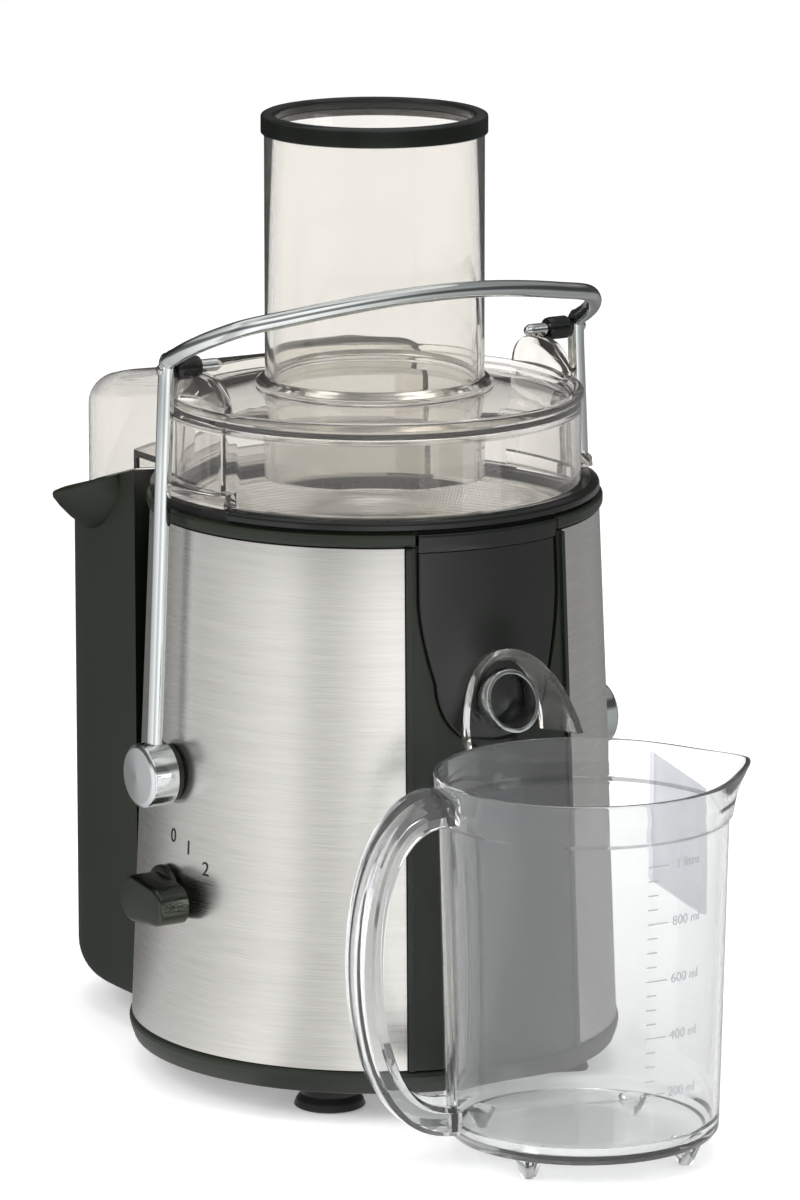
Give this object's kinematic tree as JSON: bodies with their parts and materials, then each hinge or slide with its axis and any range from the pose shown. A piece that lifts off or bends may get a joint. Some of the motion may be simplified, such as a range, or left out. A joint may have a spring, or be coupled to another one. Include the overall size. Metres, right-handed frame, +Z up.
{
  "type": "centrifugal juicer",
  "caption": "Centrifugal juicer with a clear whole-fruit feed chute and lid, a chrome bail latch, a steel body, a rear pulp container and a clear juice jug at the front.",
  "frame": {"origin": "middle of the object's footprint, on the plane that its feet stand on", "axes": "+Z up along the spindle, -Y towards the juice jug, +Y towards the pulp container, +X to the right seen from the jug; the spindle is at y = 0.0181"},
  "size_m": [0.2155, 0.3781, 0.3743],
  "materials": {
    "black_abs": "satin black-green moulded ABS",
    "gloss_abs": "gloss black moulded ABS",
    "brushed_steel": "stainless sheet brushed round the body",
    "filter_steel": "etched stainless mesh and disc",
    "machined_steel": "machined steel",
    "lamination_steel": "stacked electrical steel",
    "clear_san": "clear moulded SAN plastic",
    "chrome_plate": "polished chrome plate",
    "smoked_chrome": "dark metallised plastic",
    "black_rubber": "soft black rubber",
    "copper_wire": "enamelled copper",
    "cast_alloy": "die-cast alloy",
    "carbon": "pressed carbon",
    "circuit_board": "green circuit board"
  },
  "bodies": {
    "housing": {"base_ring": "black_abs", "bottom_cover": "black_abs", "motor_housing": "black_abs", "front_column": "black_abs", "top_bezel": "black_abs", "juice_bowl": "gloss_abs", "chute_rim": "gloss_abs", "steel_jacket": "brushed_steel", "juice_spout": "clear_san", "lid": "clear_san", "feed_chute": "clear_san", "stator_core": "lamination_steel", "field_coil_lower": "copper_wire", "field_coil_upper": "copper_wire", "lower_bearing": "machined_steel", "upper_bearing": "machined_steel", "lower_motor_bracket": "cast_alloy", "upper_motor_bracket": "cast_alloy", "brush_left": "carbon", "brush_right": "carbon", "rotary_switch": "black_abs", "safety_switch": "black_abs", "speed_board": "circuit_board", "cord_gland": "black_rubber", "hinge_washer_left": "black_abs", "hinge_washer_right": "black_abs", "hinge_bolt_left": "machined_steel", "hinge_bolt_right": "machined_steel", "foot_front_left": "black_rubber", "foot_front_right": "black_rubber", "foot_rear_left": "black_rubber", "foot_rear_right": "black_rubber", "base_screw_front": "machined_steel", "base_screw_right": "machined_steel", "base_screw_rear": "machined_steel", "base_screw_left": "machined_steel", "motor_mount_1": "black_rubber", "motor_mount_2": "black_rubber", "motor_mount_3": "black_rubber", "motor_mount_4": "black_rubber"},
    "bail": {"bail_rod": "chrome_plate", "hinge_cap_left": "chrome_plate", "hinge_cap_right": "chrome_plate", "latch_sleeve_left": "black_rubber", "latch_sleeve_right": "black_rubber", "latch_pin_left": "chrome_plate", "latch_pin_right": "chrome_plate"},
    "spinner": {"filter_basket": "filter_steel", "grater_disc": "filter_steel", "drive_coupling": "black_abs", "motor_shaft": "machined_steel", "armature_core": "lamination_steel", "armature_winding": "copper_wire", "commutator": "copper_wire", "cooling_fan": "black_abs"},
    "knob": {"speed_knob": "smoked_chrome"},
    "pulp_bin": {"pulp_container": "black_abs"},
    "jug": {"juice_jug": "clear_san", "froth_separator": "clear_san"}
  },
  "joints": [
    {"name": "bail_swing", "type": "hinge", "parent": "housing", "child": "bail", "pos_m": [0, 0.0181, 0.126], "axis": [1, 0, 0], "range_deg": [0, 62]},
    {"name": "basket_spin", "type": "hinge", "parent": "housing", "child": "spinner", "pos_m": [0, 0.0181, 0.182], "axis": [0, 0, 1], "continuous": true},
    {"name": "knob_turn", "type": "hinge", "parent": "housing", "child": "knob", "pos_m": [-0.1, 0.0181, 0.078], "axis": [-1, 0, 0], "range_deg": [0, 80]},
    {"name": "pulp_bin_slide", "type": "slide", "parent": "housing", "child": "pulp_bin", "axis": [0, 0.9591, -0.2829], "range_m": [0, 0.036]},
    {"name": "jug_slide", "type": "slide", "parent": "housing", "child": "jug", "axis": [0, -1, 0], "range_m": [0, 0.15]}
  ]
}
